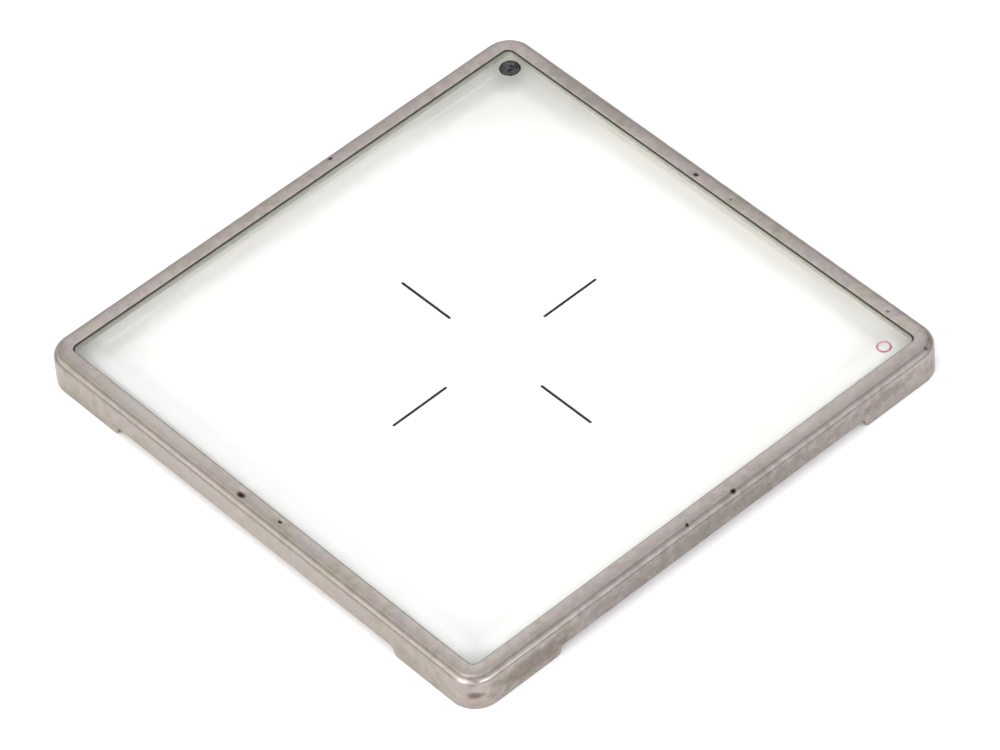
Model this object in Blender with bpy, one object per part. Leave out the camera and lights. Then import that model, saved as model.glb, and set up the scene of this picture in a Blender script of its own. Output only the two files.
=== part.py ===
"""Framed focusing screen of a 6x6 reflex camera: a ground glass and a fresnel lens cemented into a
square metal frame that stands on four corner feet. Metres, +Z up, origin on the resting plane under
the centre; X and Y run along the frame's sides."""

from math import cos, pi, radians, sin

import bmesh
import bpy

# Frame, measured from the centre outwards
POCKET_HALF = 0.0280  # half of the opening that the glass fills
RIM_HALF = 0.02936  # outer side of the raised rim
OUTER_HALF = 0.02995
LEDGE_HALF = 0.0268  # half of the clear opening under the plates
OUTER_RADIUS = 0.00275  # corner radius of the outer wall
POCKET_RADIUS = 0.00075
LEDGE_RADIUS = 0.0010

# Frame, heights above the resting plane
HEIGHT = 0.00395
SHOULDER_DROP = 0.00027  # from the rim's top down to the shoulder beside it
LEDGE_TOP_Z = 0.00133
RECESS_Z = 0.00102  # underside of the frame between the feet

# Frame, edges
SHOULDER_ROUND = 0.00055
RIM_ROUND = 0.00015
EDGE_BREAK = 0.0001  # small chamfer on the frame's other edges

# Feet
FOOT_END = 0.0193  # distance of a foot's upright end from the middle of its side
FOOT_ROUND = 0.0005

# Plates
PLATE_GAP = 0.0002  # between the glass and the lens, where the printed lines lie
LEDGE_GAP = 0.0001  # between the lens and the ledge
SIDE_GAP = 0.00008  # between the glass and the pocket wall
GLASS_TOP_Z = 0.0038
GLASS_THICKNESS = 0.0014
GLASS_CHAMFER = 0.00012
LENS_HALF = 0.0270
LENS_CHAMFER = 0.0001

# Cross of four lines and the mark, between the two plates
RETICLE_CENTRE = (0.00003, -0.00044)  # the cross lies slightly off the frame's centre
RETICLE_TURN = radians(0.40)  # and is slightly turned
LINE_START = 0.0062
LINE_LENGTH = 0.0068
LINE_WIDTH = 0.00028
PRINT_THICKNESS = 0.00008
MARK_PLACE = (0.02567, -0.02598)
MARK_RADIUS = 0.00075
MARK_LINE = 0.00022

# Enamel dot on the glass
DOT_PLACE = (0.02619, 0.0258)
DOT_RADIUS = 0.00106
DOT_HEIGHT = 0.00008
DOT_GAP = 0.00005

# Cement beads beside the fresnel lens
BEAD_LENGTH = 0.030
BEAD_WIDTH = 0.0004
BEAD_HEIGHT = 0.0008

CORNER_STEPS = 8
ROUND_STEPS = 4
MARK_STEPS = 24

GLASS_BOTTOM_Z = GLASS_TOP_Z - GLASS_THICKNESS
LENS_BOTTOM_Z = LEDGE_TOP_Z + LEDGE_GAP
LENS_TOP_Z = GLASS_BOTTOM_Z - PLATE_GAP
PRINT_Z = (LENS_TOP_Z + GLASS_BOTTOM_Z) / 2
SHOULDER_Z = HEIGHT - SHOULDER_DROP

COLOURS = {
    "satin_nickel": ((0.46, 0.42, 0.38), 0.42, 1.0),
    "clear_glass": ((0.90, 0.95, 0.92), 0.08, 0.0),
    "lens_acrylic": ((0.93, 0.94, 0.95), 0.18, 0.0),
    "line_black": ((0.03, 0.025, 0.03), 0.50, 0.0),
    "mark_purple": ((0.16, 0.04, 0.08), 0.55, 0.0),
    "black_enamel": ((0.012, 0.014, 0.018), 0.22, 0.0),
    "amber_cement": ((0.42, 0.30, 0.12), 0.35, 0.0),
}


def make_material(name):
    """A Principled material from the table of colours."""
    colour, roughness, metallic = COLOURS[name]
    material = bpy.data.materials.new(name)
    material.use_nodes = True
    shader = material.node_tree.nodes["Principled BSDF"]
    shader.inputs["Base Color"].default_value = (*colour, 1.0)
    shader.inputs["Roughness"].default_value = roughness
    shader.inputs["Metallic"].default_value = metallic
    return material


def add_object(name, bm, material, location=(0, 0, 0), turn=0.0):
    """Put a bmesh into the scene as a named object."""
    bmesh.ops.recalc_face_normals(bm, faces=bm.faces)
    mesh = bpy.data.meshes.new(name)
    bm.to_mesh(mesh)
    bm.free()
    return add_copy(name, mesh, material, location, turn)


def add_copy(name, mesh, material, location=(0, 0, 0), turn=0.0):
    """Place an object that uses a mesh, turned about Z."""
    obj = bpy.data.objects.new(name, mesh)
    if not mesh.materials:
        mesh.materials.append(material)
    obj.location = location
    obj.rotation_euler = (0, 0, turn)
    bpy.context.scene.collection.objects.link(obj)
    return obj


def rounded_square(half, radius):
    """Points of a square with round corners, anticlockwise from the lower side of the +X+Y corner."""
    points = []
    for corner in range(4):
        middle = pi / 4 + corner * pi / 2
        centre_x = (half - radius) * (1 if cos(middle) > 0 else -1)
        centre_y = (half - radius) * (1 if sin(middle) > 0 else -1)
        for step in range(CORNER_STEPS + 1):
            angle = middle - pi / 4 + step * pi / 2 / CORNER_STEPS
            points.append((centre_x + radius * cos(angle), centre_y + radius * sin(angle)))
    return points


def add_ring(bm, half, radius, height):
    """Vertices of one rounded square at one height."""
    return [bm.verts.new((x, y, height)) for x, y in rounded_square(half, radius)]


def join_rings(bm, lower, upper):
    """Quads between two rings with the same number of vertices."""
    count = len(lower)
    for i in range(count):
        following = (i + 1) % count
        bm.faces.new((lower[i], lower[following], upper[following], upper[i]))


def quarter_round(half, height, radius):
    """Section points of a rounded upper edge, from the level face over to the upright one."""
    angles = [step * pi / 2 / ROUND_STEPS for step in range(ROUND_STEPS + 1)]
    return [
        (half - radius * (1 - sin(angle)), height - radius * (1 - cos(angle))) for angle in angles
    ]


def frame_section():
    """Closed cross-section of the frame as (distance from the centre, height), from the top of the
    rim outwards and down, then back up the inside."""
    section = [(POCKET_HALF + EDGE_BREAK, HEIGHT)]
    section += quarter_round(RIM_HALF, HEIGHT, RIM_ROUND)
    section.append((RIM_HALF, SHOULDER_Z))
    section += quarter_round(OUTER_HALF, SHOULDER_Z, SHOULDER_ROUND)
    section += [
        (OUTER_HALF, EDGE_BREAK),
        (OUTER_HALF - EDGE_BREAK, 0),
        (LEDGE_HALF + EDGE_BREAK, 0),
        (LEDGE_HALF, EDGE_BREAK),
        (LEDGE_HALF, LEDGE_TOP_Z),
        (POCKET_HALF, LEDGE_TOP_Z),
        (POCKET_HALF, HEIGHT - EDGE_BREAK),
    ]
    return section


def corner_radius(half):
    """Corner radius at a distance from the centre: concentric outside, and by name inside."""
    if half >= RIM_HALF - RIM_ROUND:
        return OUTER_RADIUS - (OUTER_HALF - half)
    if half >= POCKET_HALF:
        return POCKET_RADIUS + (half - POCKET_HALF)
    return LEDGE_RADIUS


def recess_profile():
    """Outline of the space between two feet, seen along the side wall: (along, height)."""
    depth = 0.001
    low_arc = [
        (FOOT_END + FOOT_ROUND * (1 - cos(a)), FOOT_ROUND * (1 - sin(a)))
        for a in [step * pi / 2 / ROUND_STEPS for step in range(ROUND_STEPS + 1)]
    ]
    high_arc = [
        (FOOT_END - FOOT_ROUND * (1 - cos(a)), RECESS_Z - FOOT_ROUND * (1 - sin(a)))
        for a in [step * pi / 2 / ROUND_STEPS for step in range(ROUND_STEPS + 1)]
    ]
    right = [(FOOT_END + FOOT_ROUND, -depth)] + low_arc[::-1] + high_arc
    left = [(-along, height) for along, height in reversed(right)]
    return right + left


def add_recess_cutter(name, turn):
    """A bar right across the frame that clears the space between the feet of two opposite sides."""
    bm = bmesh.new()
    reach = OUTER_HALF * 1.2
    near = [bm.verts.new((-reach, along, height)) for along, height in recess_profile()]
    far = [bm.verts.new((reach, along, height)) for along, height in recess_profile()]
    join_rings(bm, near, far)
    bm.faces.new(near)
    bm.faces.new(far)
    bmesh.ops.remove_doubles(bm, verts=bm.verts, dist=1e-7)
    cutter = add_object(name, bm, materials["satin_nickel"], turn=turn)
    cutter.hide_render = True
    cutter.display_type = "WIRE"
    return cutter


def build_frame():
    """The metal ring: one section swept round the rounded square, then cut away between the feet."""
    bm = bmesh.new()
    rings = [add_ring(bm, half, corner_radius(half), z) for half, z in frame_section()]
    for ring, following in zip(rings, rings[1:] + rings[:1]):
        join_rings(bm, ring, following)
    frame = add_object("frame", bm, materials["satin_nickel"])
    for name, turn in (("recess_cutter_x", 0.0), ("recess_cutter_y", pi / 2)):
        cut = frame.modifiers.new(name, "BOOLEAN")
        cut.operation = "DIFFERENCE"
        cut.object = add_recess_cutter(name, turn)
    frame.data.shade_smooth()
    frame.data.set_sharp_from_angle(angle=pi / 5)


def build_plate(name, half, radius, bottom, top, chamfer, material):
    """A square plate with round corners and chamfered edges."""
    bm = bmesh.new()
    levels = [
        (half - chamfer, bottom),
        (half, bottom + chamfer),
        (half, top - chamfer),
        (half - chamfer, top),
    ]
    rings = [add_ring(bm, size, radius - (half - size), z) for size, z in levels]
    for lower, upper in zip(rings, rings[1:]):
        join_rings(bm, lower, upper)
    bm.faces.new(rings[0])
    bm.faces.new(rings[-1])
    add_object(name, bm, materials[material])


def strip_bmesh(length, width, height):
    """A thin strip with half-round ends, along +X from the origin, centred in Y and Z."""
    bm = bmesh.new()
    radius = width / 2
    outline = []
    for end, centre in ((0, length - radius), (1, radius)):
        for step in range(2 * ROUND_STEPS + 1):
            angle = -pi / 2 + end * pi + step * pi / (2 * ROUND_STEPS)
            outline.append((centre + radius * cos(angle), radius * sin(angle)))
    lower = [bm.verts.new((x, y, -height / 2)) for x, y in outline]
    upper = [bm.verts.new((x, y, height / 2)) for x, y in outline]
    join_rings(bm, lower, upper)
    bm.faces.new(lower)
    bm.faces.new(upper)
    return bm


SIDES = (("right", 0.0), ("rear", pi / 2), ("left", pi), ("front", 3 * pi / 2))


def build_reticle():
    """Four lines that point at the centre and leave it open."""
    mesh = None
    for side, side_turn in SIDES:
        turn = side_turn + RETICLE_TURN
        place = (
            RETICLE_CENTRE[0] + LINE_START * cos(turn),
            RETICLE_CENTRE[1] + LINE_START * sin(turn),
            PRINT_Z,
        )
        name = "reticle_line_" + side
        if mesh is None:
            strip = strip_bmesh(LINE_LENGTH, LINE_WIDTH, PRINT_THICKNESS)
            mesh = add_object(name, strip, materials["line_black"], place, turn).data
        else:
            add_copy(name, mesh, materials["line_black"], place, turn)


def build_cement():
    """One bead beside each side of the fresnel lens, between the ledge and the glass."""
    middle = (LENS_HALF + POCKET_HALF) / 2
    mesh = None
    for side, turn in SIDES:
        place = (
            middle * cos(turn) + BEAD_LENGTH / 2 * sin(turn),
            middle * sin(turn) - BEAD_LENGTH / 2 * cos(turn),
            (LEDGE_TOP_Z + GLASS_BOTTOM_Z) / 2,
        )
        name = "cement_bead_" + side
        if mesh is None:
            bead = strip_bmesh(BEAD_LENGTH, BEAD_WIDTH, BEAD_HEIGHT)
            mesh = add_object(name, bead, materials["amber_cement"], place, turn + pi / 2).data
        else:
            add_copy(name, mesh, materials["amber_cement"], place, turn + pi / 2)


def build_mark():
    """A plain printed ring near the corner, level with the cross."""
    bm = bmesh.new()
    rings = []
    sections = (
        (MARK_RADIUS, -PRINT_THICKNESS / 2),
        (MARK_RADIUS, PRINT_THICKNESS / 2),
        (MARK_RADIUS - MARK_LINE, PRINT_THICKNESS / 2),
        (MARK_RADIUS - MARK_LINE, -PRINT_THICKNESS / 2),
    )
    for radius, z in sections:
        angles = [step * 2 * pi / MARK_STEPS for step in range(MARK_STEPS)]
        rings.append([bm.verts.new((radius * cos(a), radius * sin(a), z)) for a in angles])
    for ring, following in zip(rings, rings[1:] + rings[:1]):
        join_rings(bm, ring, following)
    add_object("corner_mark", bm, materials["mark_purple"], (*MARK_PLACE, PRINT_Z))


def build_dot():
    """A thin, slightly uneven dab of enamel on the glass."""
    bm = bmesh.new()
    rings = []
    for share, z in ((0.9, 0.0), (1.0, DOT_HEIGHT * 0.3), (0.85, DOT_HEIGHT * 0.8), (0.5, DOT_HEIGHT)):
        ring = []
        for step in range(MARK_STEPS):
            angle = step * 2 * pi / MARK_STEPS
            radius = share * DOT_RADIUS * (1 + 0.06 * cos(2 * angle + pi / 2) + 0.02 * sin(5 * angle))
            ring.append(bm.verts.new((radius * cos(angle), radius * sin(angle), z)))
        rings.append(ring)
    for lower, upper in zip(rings, rings[1:]):
        join_rings(bm, lower, upper)
    bm.faces.new(rings[0])
    bm.faces.new(rings[-1])
    add_object("index_dot", bm, materials["black_enamel"], (*DOT_PLACE, GLASS_TOP_Z + DOT_GAP))


for old in list(bpy.data.objects):
    bpy.data.objects.remove(old)
materials = {name: make_material(name) for name in COLOURS}

build_frame()
glass_half = POCKET_HALF - SIDE_GAP
build_plate(
    "ground_glass",
    glass_half,
    POCKET_RADIUS,
    GLASS_BOTTOM_Z,
    GLASS_TOP_Z,
    GLASS_CHAMFER,
    "clear_glass",
)
build_plate(
    "fresnel_lens",
    LENS_HALF,
    LEDGE_RADIUS,
    LENS_BOTTOM_Z,
    LENS_TOP_Z,
    LENS_CHAMFER,
    "lens_acrylic",
)
build_reticle()
build_cement()
build_mark()
build_dot()
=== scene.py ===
"""Looks of the framed focusing screen: a rubbed satin-nickel frame with painted highlights and shade,
a ground glass with its printed cross, a grooved fresnel lens and an enamel dot, on a white table
under soft boxes. Metres, +Z up."""

from math import ceil, cos, exp, pi, radians, sin, sqrt

import bmesh
import bpy
from mathutils import Matrix, Vector, noise


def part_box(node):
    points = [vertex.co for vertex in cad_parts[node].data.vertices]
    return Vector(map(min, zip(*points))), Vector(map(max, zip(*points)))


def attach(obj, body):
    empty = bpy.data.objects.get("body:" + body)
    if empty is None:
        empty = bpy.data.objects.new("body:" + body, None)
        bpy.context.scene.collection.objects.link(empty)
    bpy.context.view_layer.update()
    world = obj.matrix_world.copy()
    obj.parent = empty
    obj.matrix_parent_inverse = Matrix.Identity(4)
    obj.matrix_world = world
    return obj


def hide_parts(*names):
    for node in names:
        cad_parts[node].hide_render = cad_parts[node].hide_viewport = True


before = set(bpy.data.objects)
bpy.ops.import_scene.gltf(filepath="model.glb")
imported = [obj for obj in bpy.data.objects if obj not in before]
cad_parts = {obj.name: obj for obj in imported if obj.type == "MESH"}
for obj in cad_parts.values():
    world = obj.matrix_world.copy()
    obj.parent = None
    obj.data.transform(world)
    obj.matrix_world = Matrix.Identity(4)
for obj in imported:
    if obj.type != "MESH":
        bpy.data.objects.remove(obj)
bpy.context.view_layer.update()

# Sizes of the frame's section that a node's box can't give
POCKET_HALF = 0.0280
RIM_HALF = 0.02936
LEDGE_HALF = 0.0268
OUTER_RADIUS = 0.00275
POCKET_RADIUS = 0.00075
LEDGE_RADIUS = 0.0010
SHOULDER_DROP = 0.00027
SHOULDER_ROUND = 0.00055
CREASE_ROUND = 0.00012
RIM_ROUND = 0.00015
POCKET_ROUND = 0.00003
EDGE_BREAK = 0.0001
GROOVE_STEP = 0.0005
GROOVE_DEPTH = 0.00006
GROOVE_FLANK = 0.00002
GROOVE_SIDES = 144
LEDGE_TOP_Z = 0.00133
LINE_LENGTH = 0.0068
LINE_WIDTH = 0.00028
RETICLE_TURN = radians(0.40)
MARK_LINE = 0.00022
RECESS_Z = 0.00102
FOOT_END = 0.0193
FOOT_ROUND = 0.0005
FLOOR_GAP = 0.00005  # the table lies this far under the feet

OUTER_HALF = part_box("frame")[1].x
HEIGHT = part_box("frame")[1].z
SHOULDER_Z = HEIGHT - SHOULDER_DROP

SIDES = ("right", "rear", "left", "front")
SIDE_TURNS = (0.0, pi / 2, pi, 3 * pi / 2)
STRAIGHT = 0.0245  # half of the stretch of each side that is measured from the side's middle
STATION_STEP = 0.0007
SAME_PLACE = 0.000015  # stations closer together than this are one
CORNER_STEPS = 14

# Dents and pits in the metal: x, y, z, half length along the side, half width, depth
PITS = (
    (-0.02885, 0.00254, HEIGHT, 0.00044, 0.00030, 0.00016),
    (-0.02858, -0.00257, HEIGHT, 0.00022, 0.00016, 0.00010),
    (0.02862, 0.00225, HEIGHT, 0.00028, 0.00022, 0.00012),
    (0.02860, -0.00256, HEIGHT, 0.00013, 0.00011, 0.00006),
    (0.02858, -0.02362, HEIGHT, 0.00018, 0.00016, 0.00005),
    (0.00294, -0.02938, SHOULDER_Z, 0.00030, 0.00018, 0.00012),
    (-0.00286, -0.02938, SHOULDER_Z, 0.00016, 0.00012, 0.00008),
    (0.00571, 0.02915, HEIGHT, 0.00025, 0.00020, 0.00010),
    (0.00286, 0.02884, HEIGHT, 0.00040, 0.00006, 0.00002),
    (-0.00302, 0.02912, HEIGHT, 0.00030, 0.00006, 0.00002),
)
PIT_SEARCH = 0.0015  # no pit is felt further away than this
PIT_LEVEL = 0.0004  # nor further above or below
BLACK_PIT = 0.00008  # a pit this deep is quite dark

# Painted shade with a dirty film, and rubbing with a painted highlight, on the metal: each strength
# is a share, each reach a distance from its place
CREASE_SHADE_AND_GRIME = 0.58
CREASE_REACH = 0.00018
LIGHTER_FROM = 0.024  # towards the left corner the crease's painted shade and dirty film fade from here
LIGHTER_OVER = 0.004
BESIDE_FAR = (0.16, 0.0004)  # strength and reach on the rim, next to the crease
BESIDE_NEAR = (0.30, 0.0006)  # the same along the front and left sides
POCKET_SHADE_AND_GRIME = 0.22
UNDER_SHADE_AND_GRIME = 0.25
SHOULDER_RUBBING_AND_SHEEN = (0.00016, 0.00022)  # how far in from the shoulder's corner, and reach
RIM_EDGE_RUBBING_AND_SHEEN = (0.00004, 0.00008)
INNER_EDGE_REACH = 0.00045
EDGE_SHARE = 0.4  # rubbing and painted highlight of the rim's edges against the shoulder's
WAVINESS = 0.000012
HAIR = 0.00001


def new_object(name, mesh, materials, slot, *nodes):
    """A shown piece: it rides on the part's one body and stands for CAD nodes."""
    obj = bpy.data.objects.new(name, mesh)
    bpy.context.scene.collection.objects.link(obj)
    for material in materials:
        mesh.materials.append(material)
    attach(obj, "root")
    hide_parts(*nodes)


# ---------------------------------------------------------------- swept shapes


def foot_rise(along):
    """Height of the frame's underside at a distance from the middle of a side."""
    along = abs(along)
    if along <= FOOT_END - FOOT_ROUND:
        return RECESS_Z
    if along < FOOT_END:
        share = (along - FOOT_END + FOOT_ROUND) / FOOT_ROUND
        return RECESS_Z - FOOT_ROUND * (1 - sqrt(1 - share * share))
    if along < FOOT_END + FOOT_ROUND:
        share = 1 - (along - FOOT_END) / FOOT_ROUND
        return FOOT_ROUND * (1 - sqrt(1 - share * share))
    return 0.0


def along_positions(side):
    """Places along the straight part of one side, closer together at the feet and the pits."""
    count = int(ceil(2 * STRAIGHT / STATION_STEP))
    places = [-STRAIGHT + 2 * STRAIGHT * i / count for i in range(count + 1)]
    for step in range(7):
        from_step = 0.00001 + FOOT_ROUND * (1 - cos(step * pi / 12))
        for sign in (-1, 1):
            places += [sign * (FOOT_END - from_step), sign * (FOOT_END + from_step)]
    turn = SIDE_TURNS[side]
    for x, y, _, half_length, _, _ in PITS:
        if x * cos(turn) + y * sin(turn) > abs(-x * sin(turn) + y * cos(turn)):
            middle = -x * sin(turn) + y * cos(turn)
            places += [middle + half_length * step / 6 for step in range(-10, 11)]
    places.sort()
    kept = [places[0]]
    for place in places[1:]:
        if place - kept[-1] > SAME_PLACE:
            kept.append(place)
    return kept


def frame_stations():
    """Places right round the frame: (side, kind, value)."""
    stations = []
    for side in range(4):
        stations += [(side, "start", share / 4) for share in range(4)]
        stations += [(side, "along", place) for place in along_positions(side)]
        stations += [(side, "end", share / 4) for share in range(1, 4)]
        stations += [(side, "corner", step / CORNER_STEPS) for step in range(CORNER_STEPS)]
    return stations


def plate_stations(steps):
    """Places round a plate: evenly along each side and round each corner."""
    stations = []
    for side in range(4):
        stations += [(side, "whole", share / steps) for share in range(steps)]
        stations += [(side, "corner", step / CORNER_STEPS) for step in range(CORNER_STEPS)]
    return stations


def ring_point(half, radius, station):
    """Where a station lies on a rounded square."""
    side, kind, value = station
    turn = SIDE_TURNS[side]
    straight = half - radius
    out, along = half, value
    if kind == "start":
        along = -straight + (straight - STRAIGHT) * value
    elif kind == "end":
        along = STRAIGHT + (straight - STRAIGHT) * value
    elif kind == "whole":
        along = straight * (2 * value - 1)
    elif kind == "corner":
        out = straight + radius * cos(value * pi / 2)
        along = straight + radius * sin(value * pi / 2)
    return (out * cos(turn) - along * sin(turn), out * sin(turn) + along * cos(turn))


def arc(centre, radius, start, end, steps):
    """Points of an arc in the section plane, angles in quarter turns from outwards towards up."""
    angles = [(start + (end - start) * i / steps) * pi / 2 for i in range(steps + 1)]
    return [(centre[0] + radius * cos(a), centre[1] + radius * sin(a)) for a in angles]


def line(start, end, steps):
    """Points between two section points, without its two ends."""
    shares = [i / steps for i in range(1, steps)]
    return [tuple(a + (b - a) * share for a, b in zip(start, end)) for share in shares]


def frame_section():
    """Closed section of the frame, (distance from the centre, height), from the rim's inner edge
    outwards and down, then back up the inside."""
    rim_in = (POCKET_HALF + POCKET_ROUND, HEIGHT)
    rim_out = (RIM_HALF - RIM_ROUND, HEIGHT)
    section = [rim_in] + line(rim_in, rim_out, 15)
    section += arc((RIM_HALF - RIM_ROUND, HEIGHT - RIM_ROUND), RIM_ROUND, 1, 0, 5)
    section += arc((RIM_HALF + CREASE_ROUND, SHOULDER_Z + CREASE_ROUND), CREASE_ROUND, 2, 3, 3)
    round_centre = (OUTER_HALF - SHOULDER_ROUND, SHOULDER_Z - SHOULDER_ROUND)
    section += arc(round_centre, SHOULDER_ROUND, 1, 0, 9)
    wall_top = (OUTER_HALF, SHOULDER_Z - SHOULDER_ROUND)
    wall_low = (OUTER_HALF, EDGE_BREAK)
    section += line(wall_top, wall_low, 14)
    section += arc((OUTER_HALF - EDGE_BREAK, EDGE_BREAK), EDGE_BREAK, 0, -1, 3)
    under_in = (LEDGE_HALF + EDGE_BREAK, 0)
    section += line((OUTER_HALF - EDGE_BREAK, 0), under_in, 6)
    section += arc((LEDGE_HALF + EDGE_BREAK, EDGE_BREAK), EDGE_BREAK, -1, -2, 3)
    section += [(LEDGE_HALF, LEDGE_TOP_Z)]
    section += line((LEDGE_HALF, LEDGE_TOP_Z), (POCKET_HALF, LEDGE_TOP_Z), 3)
    section += [(POCKET_HALF, LEDGE_TOP_Z)]
    section += line((POCKET_HALF, LEDGE_TOP_Z), (POCKET_HALF, HEIGHT - POCKET_ROUND), 5)
    section += arc((POCKET_HALF + POCKET_ROUND, HEIGHT - POCKET_ROUND), POCKET_ROUND, 2, 1, 3)[:-1]
    return section


def corner_radius(half):
    """Corner radius at a distance from the centre: concentric outside, and by name inside."""
    if half >= RIM_HALF - RIM_ROUND:
        return OUTER_RADIUS - (OUTER_HALF - half)
    if half >= POCKET_HALF:
        share = (half - POCKET_HALF) / (RIM_HALF - RIM_ROUND - POCKET_HALF)
        outer = OUTER_RADIUS - (OUTER_HALF - RIM_HALF + RIM_ROUND)
        return POCKET_RADIUS + (outer - POCKET_RADIUS) * share
    return LEDGE_RADIUS


def sweep(section, stations):
    """Vertices and quads of the frame's section swept round; between the feet its underside rises
    and the outer wall gets shorter."""
    verts = []
    wall_top = SHOULDER_Z - SHOULDER_ROUND
    for half, z in section:
        for station in stations:
            x, y = ring_point(half, corner_radius(half), station)
            rise = 0.0
            if station[1] == "along" and z < wall_top:
                rise = foot_rise(station[2])
                if z > EDGE_BREAK:
                    rise *= max(0.0, 1 - (z - EDGE_BREAK) / (wall_top - EDGE_BREAK))
                if half <= POCKET_HALF and z > EDGE_BREAK:
                    rise = 0.0
            verts.append((x, y, z + rise))
    count = len(stations)
    faces = []
    for i in range(len(section)):
        j = (i + 1) % len(section)
        for k in range(count):
            m = (k + 1) % count
            faces.append((i * count + k, i * count + m, j * count + m, j * count + k))
    return verts, faces


def fbm(point, scale, octaves=3):
    """Smooth noise, about -1 to 1."""
    return noise.fractal(Vector(point) * scale, 1.0, 2.0, octaves)


def pit_depth(point):
    """How deep the pits cut here, and how dark they are."""
    depth, dark = 0.0, 0.0
    for x, y, z, half_length, half_width, deepest in PITS:
        dx, dy = point[0] - x, point[1] - y
        if max(abs(dx), abs(dy)) > PIT_SEARCH or abs(point[2] - z) > PIT_LEVEL:
            continue
        if abs(x) > abs(y):
            across, along = dx, dy
        else:
            across, along = dy, dx
        ragged = 1 + 0.22 * fbm(point, 3500, 2)
        reach = sqrt((along / half_length) ** 2 + (across / half_width) ** 2) * ragged
        if reach < 1.6:
            share = exp(-(reach ** 4))
            depth = max(depth, deepest * share)
            dark = max(dark, share * min(1.0, deepest / BLACK_PIT))
    return depth, dark


def closeness(half, z, place_half, place_z, reach):
    """1 at a place of the frame's section, fading to 0 beyond its reach."""
    return exp(-(((half - place_half) ** 2 + (z - place_z) ** 2) / reach ** 2))


def in_pocket(half, z):
    """Whether a point of the section is on the pocket's wall."""
    return half <= POCKET_HALF + POCKET_ROUND * 0.5 and z > LEDGE_TOP_Z


def shade_and_grime_at(point, half, z):
    """Painted shade, with a dirty film, on the metal: most in the crease, less beside it, in the
    pocket and underneath.
    """
    crease = CREASE_SHADE_AND_GRIME * closeness(half, z, RIM_HALF, SHOULDER_Z, CREASE_REACH)
    if point.x < 0 and point.y > LIGHTER_FROM:
        crease *= max(0.25, 1 - (point.y - LIGHTER_FROM) / LIGHTER_OVER)
    beside = 0.0
    if half < RIM_HALF + 2 * HAIR and z > SHOULDER_Z - HAIR:
        strength, reach = BESIDE_NEAR if min(point.x, point.y) < -POCKET_HALF else BESIDE_FAR
        beside = strength * exp(-(((half - RIM_HALF) / reach) ** 2))
    pocket = POCKET_SHADE_AND_GRIME if in_pocket(half, z) else 0.0
    under = UNDER_SHADE_AND_GRIME if z < EDGE_BREAK else 0.0
    return max(crease, beside, pocket, under)


def rubbing_and_sheen_at(half, z):
    """How rubbed the metal is, which also lightens it as a painted highlight: on the shoulder, the
    rim's outer edge and the rim's inner edge.
    """
    inset, reach = SHOULDER_RUBBING_AND_SHEEN
    shoulder = closeness(half, z, OUTER_HALF - inset, SHOULDER_Z - inset, reach)
    inset, reach = RIM_EDGE_RUBBING_AND_SHEEN
    rim_edge = EDGE_SHARE * closeness(half, z, RIM_HALF - inset, HEIGHT - inset, reach)
    inner = 0.0
    if z > HEIGHT - POCKET_ROUND:
        inner = EDGE_SHARE * exp(-(((half - POCKET_HALF) / INNER_EDGE_REACH) ** 2))
    return min(1.0, shoulder + rim_edge + inner)


def build_frame(material):
    """The metal frame, with its pits, nicks and slightly uneven walls."""
    section = frame_section()
    stations = frame_stations()
    verts, faces = sweep(section, stations)
    mesh = bpy.data.meshes.new("frame_shell")
    mesh.from_pydata(verts, [], faces)
    mesh.validate()
    bm = bmesh.new()
    bm.from_mesh(mesh)
    bmesh.ops.recalc_face_normals(bm, faces=bm.faces)
    bm.to_mesh(mesh)
    bm.free()
    mesh.update()
    normals = [v.normal.copy() for v in mesh.vertices]
    count = len(stations)
    pit = mesh.attributes.new("pit", "FLOAT", "POINT")
    # Painted shade with a dirty film, kept at the vertices
    shade_and_grime = mesh.attributes.new("shade_and_grime", "FLOAT", "POINT")
    # Rubbing with a painted highlight, kept at the vertices
    rubbing_and_sheen = mesh.attributes.new("rubbing_and_sheen", "FLOAT", "POINT")
    for i, vert in enumerate(mesh.vertices):
        half, z = section[i // count]
        point = vert.co.copy()
        depth, dark = pit_depth(point)
        if z < HEIGHT - HAIR and not in_pocket(half, z):
            depth += WAVINESS * max(0.0, fbm(point, 260) + 0.5)
        vert.co = point - normals[i] * depth
        pit.data[i].value = dark
        shade_and_grime.data[i].value = shade_and_grime_at(point, half, z)
        rubbing_and_sheen.data[i].value = rubbing_and_sheen_at(half, z)
    mesh.shade_smooth()
    mesh.set_sharp_from_angle(angle=radians(50))
    new_object("frame_shell", mesh, [material], "frame_metal", "frame")


def plate_mesh(name, half, radius, levels, steps, face_slots):
    """A closed plate: rings at (inset, height) from the bottom up, then both faces filled."""
    stations = plate_stations(steps)
    verts = []
    for inset, z in levels:
        verts += [(*ring_point(half - inset, radius - inset, s), z) for s in stations]
    count = len(stations)
    faces = []
    slots = []
    for i in range(len(levels) - 1):
        for k in range(count):
            m = (k + 1) % count
            faces.append((i * count + k, i * count + m, (i + 1) * count + m, (i + 1) * count + k))
            slots.append(face_slots[i + 1])
    faces.append(tuple(range(count))[::-1])
    slots.append(face_slots[0])
    top = (len(levels) - 1) * count
    faces.append(tuple(range(top, top + count)))
    slots.append(face_slots[-1])
    mesh = bpy.data.meshes.new(name)
    mesh.from_pydata(verts, [], faces)
    for polygon, slot in zip(mesh.polygons, slots):
        polygon.material_index = slot
    mesh.shade_smooth()
    mesh.set_sharp_from_angle(angle=radians(30))
    return mesh


def chamfered_levels(low, high, chamfer):
    """Rings of a plate with both of its edges broken."""
    return [(chamfer, low), (0.0, low + chamfer), (0.0, high - chamfer), (chamfer, high)]


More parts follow.
